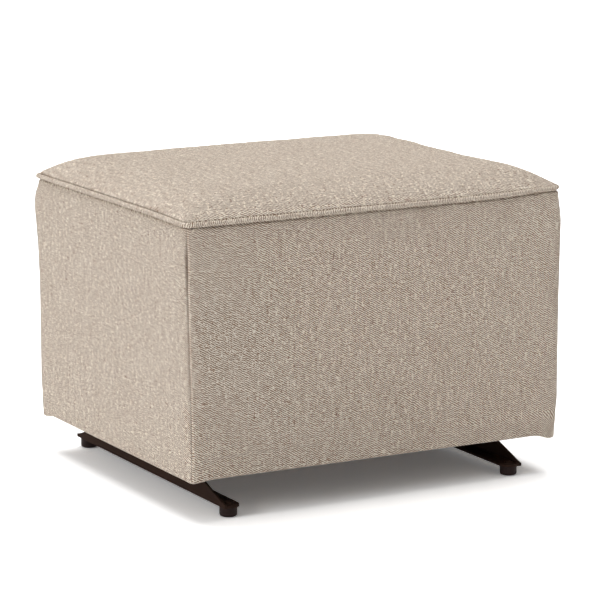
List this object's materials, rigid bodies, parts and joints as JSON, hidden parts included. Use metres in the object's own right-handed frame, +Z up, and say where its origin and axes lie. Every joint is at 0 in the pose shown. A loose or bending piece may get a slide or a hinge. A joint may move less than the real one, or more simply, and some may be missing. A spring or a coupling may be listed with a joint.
{
  "type": "glider ottoman",
  "caption": "Rectangular upholstered footstool with a crowned, welted top, hung on a parallelogram of swinging links from a low steel base so that it glides front to back.",
  "frame": {"origin": "on the floor, under the centre of the box", "axes": "+X to the right, across the wide front; +Y to the back, along the glide; +Z up"},
  "size_m": [0.582, 0.48, 0.436],
  "materials": {
    "cover_fabric": "matte",
    "foam": "matte",
    "wadding": "matte",
    "frame_wood": "matte",
    "painted_steel": "satin",
    "foot_plastic": "satin",
    "zinc_steel": "satin",
    "bearing_steel": "polished",
    "stop_rubber": "matte"
  },
  "bodies": {
    "base": {"foot_glides": "foot_plastic", "foot_rivets": "zinc_steel", "floor_rail_left": "painted_steel", "floor_rail_right": "painted_steel", "cross_tubes": "painted_steel", "upright_front_left": "painted_steel", "upright_front_right": "painted_steel", "upright_back_left": "painted_steel", "upright_back_right": "painted_steel", "tie_bar_left": "painted_steel", "tie_bar_right": "painted_steel", "upright_bolts": "zinc_steel", "upright_nuts": "zinc_steel", "upper_pivot_bolts": "zinc_steel", "upper_pivot_nuts": "zinc_steel", "upper_pivot_spacers": "zinc_steel", "travel_stops": "stop_rubber"},
    "link_front_left": {"link_arm_front_left": "painted_steel", "link_bearings_front_left": "bearing_steel"},
    "link_back_left": {"link_arm_back_left": "painted_steel", "link_bearings_back_left": "bearing_steel"},
    "link_front_right": {"link_arm_front_right": "painted_steel", "link_bearings_front_right": "bearing_steel"},
    "link_back_right": {"link_arm_back_right": "painted_steel", "link_bearings_back_right": "bearing_steel"},
    "ottoman": {"lower_pivot_spacers": "zinc_steel", "lower_pivot_nuts": "zinc_steel", "carrier_left": "painted_steel", "carrier_right": "painted_steel", "carrier_screws": "zinc_steel", "corner_blocks": "frame_wood", "deck_board": "frame_wood", "deck_screws": "zinc_steel", "foam_pad": "foam", "welt_cord": "cover_fabric", "hem_staples": "zinc_steel", "cover_top": "cover_fabric", "frame_board_front": "frame_wood", "cover_front": "cover_fabric", "wadding_front": "wadding", "frame_board_back": "frame_wood", "cover_back": "cover_fabric", "wadding_back": "wadding", "frame_board_left": "frame_wood", "cover_left": "cover_fabric", "wadding_left": "wadding", "frame_board_right": "frame_wood", "cover_right": "cover_fabric", "wadding_right": "wadding"}
  },
  "joints": [
    {"name": "glide", "type": "hinge", "parent": "base", "child": "link_front_left", "pos_m": [-0.244, -0.085, 0.3], "axis": [1, 0, 0], "range_deg": [-24, 24]},
    {"name": "ottoman_level", "type": "hinge", "parent": "link_front_left", "child": "ottoman", "pos_m": [-0.244, -0.085, 0.17], "axis": [1, 0, 0], "range_deg": [-24, 24]},
    {"name": "swing_back_left", "type": "hinge", "parent": "base", "child": "link_back_left", "pos_m": [-0.244, 0.085, 0.3], "axis": [1, 0, 0], "range_deg": [-24, 24]},
    {"name": "swing_front_right", "type": "hinge", "parent": "base", "child": "link_front_right", "pos_m": [0.244, -0.085, 0.3], "axis": [1, 0, 0], "range_deg": [-24, 24]},
    {"name": "swing_back_right", "type": "hinge", "parent": "base", "child": "link_back_right", "pos_m": [0.244, 0.085, 0.3], "axis": [1, 0, 0], "range_deg": [-24, 24]}
  ],
  "couplings": [
    {"joint": "ottoman_level", "follows": "glide", "ratio": -1},
    {"joint": "swing_back_left", "follows": "glide", "ratio": 1},
    {"joint": "swing_front_right", "follows": "glide", "ratio": 1},
    {"joint": "swing_back_right", "follows": "glide", "ratio": 1}
  ]
}
